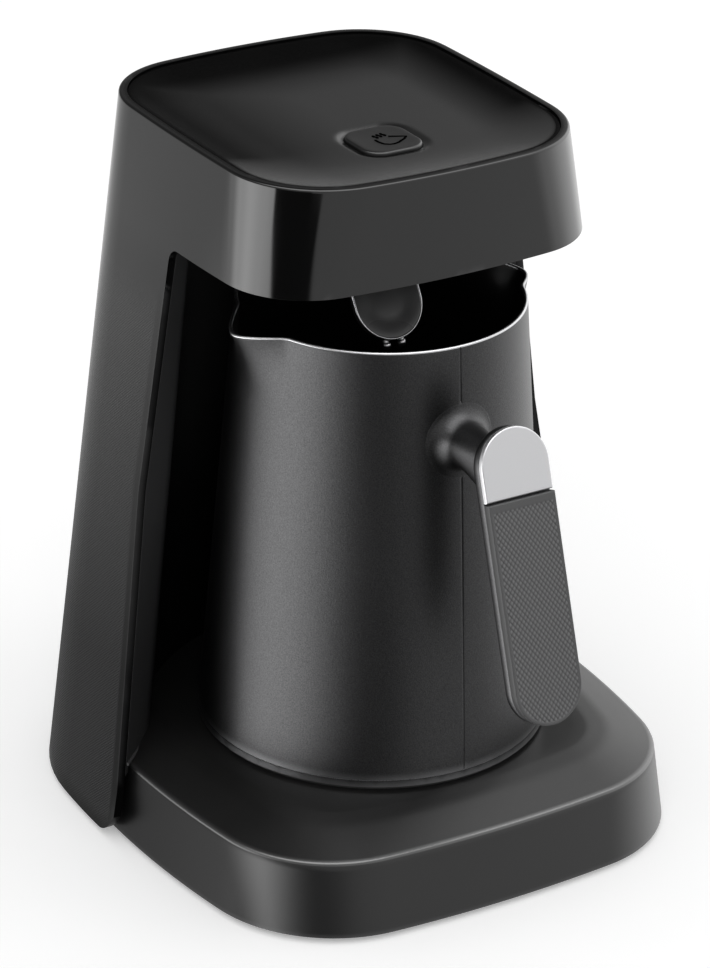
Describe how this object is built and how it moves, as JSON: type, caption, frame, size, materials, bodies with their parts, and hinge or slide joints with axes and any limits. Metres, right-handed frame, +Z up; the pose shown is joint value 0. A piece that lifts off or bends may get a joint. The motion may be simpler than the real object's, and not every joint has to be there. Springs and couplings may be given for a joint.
{
  "type": "electric turkish coffee maker",
  "caption": "Black electric turkish coffee maker: tapered tower with overhanging head, lift-out spouted pot with a flat handle, and a level sensor flap.",
  "frame": {"origin": "middle of the rest plane under the feet, on the plane of symmetry", "axes": "+Z up; -Y to the front, where the pot and its handle are; +X to the right seen from the front; the tower stands at +Y"},
  "size_m": [0.1734, 0.2017, 0.222],
  "materials": {
    "gloss_black": "glossy",
    "satin_black": "satin",
    "base_black": "fine satin grain",
    "inner_plastic": "moulded",
    "rubber": "matte",
    "led": "clear",
    "circuit_board": "solder resist",
    "aluminium": "plain",
    "steel": "plain",
    "brass": "plain",
    "flap_grey": "satin",
    "pot_coating": "fine matte coating on steel",
    "cap_silver": "satin",
    "grip": "moulded grip"
  },
  "bodies": {
    "base": {"outer_shell": "gloss_black", "top_tray": "satin_black", "head_underside": "satin_black", "tray_screws": "steel", "control_board": "circuit_board", "board_screws": "steel", "tact_switch": "inner_plastic", "button_leds": "led", "buzzer": "inner_plastic", "board_plug": "inner_plastic", "hinge_pin": "steel", "flap_bracket": "inner_plastic", "bracket_screws": "steel", "flap_spring": "steel", "bay_liner": "gloss_black", "power_board": "circuit_board", "power_board_screws": "steel", "transformer": "inner_plastic", "relay": "inner_plastic", "smoothing_capacitor": "aluminium", "terminal_block": "inner_plastic", "inlet_gland": "rubber", "base_cover": "base_black", "base_plate": "inner_plastic", "base_screws": "steel", "shell_screws": "steel", "rubber_feet": "rubber", "seat_gasket": "rubber", "contact_housing": "inner_plastic", "housing_screws": "steel", "contact_spring": "steel"},
    "button": {"start_button": "satin_black"},
    "plunger": {"switch_plunger": "inner_plastic"},
    "flap": {"sensor_flap": "flap_grey", "sensor_electrodes": "steel"},
    "contacts": {"contact_carrier": "inner_plastic", "contact_pins": "brass"},
    "pot": {"pot_body": "pot_coating", "pot_base_ring": "inner_plastic", "contact_rings": "brass", "cup_screws": "steel", "pot_seal": "rubber", "heater_plate": "aluminium", "heater_element": "steel", "thermostat": "brass", "handle_core": "satin_black", "handle_stud": "steel", "handle_screw": "steel", "handle_cap_plate": "cap_silver", "handle_grip_pad": "grip"}
  },
  "joints": [
    {"name": "button_press", "type": "slide", "parent": "base", "child": "button", "axis": [0, 0, -1], "range_m": [0, 0.0008], "stiffness_N_per_m": 200, "springref_m": -0.002},
    {"name": "plunger_press", "type": "slide", "parent": "base", "child": "plunger", "axis": [0, 0, -1], "range_m": [0, 0.0008]},
    {"name": "contact_float", "type": "slide", "parent": "base", "child": "contacts", "axis": [0, 0, -1], "range_m": [0, 0.0014], "stiffness_N_per_m": 300, "springref_m": -0.004, "deforming": ["contact_spring"]},
    {"name": "pot_draw", "type": "slide", "parent": "base", "child": "pot", "axis": [0, -0.999, 0.0436], "range_m": [0, 0.14]},
    {"name": "flap_swing", "type": "hinge", "parent": "base", "child": "flap", "pos_m": [0, -0.0034, 0.1905], "axis": [-1, 0, 0], "range_deg": [0, 84.1]}
  ],
  "couplings": [
    {"joint": "plunger_press", "follows": "button_press", "ratio": 1},
    {"joint": "flap_swing", "follows": "pot_draw", "rad_per_m": 10.47}
  ]
}
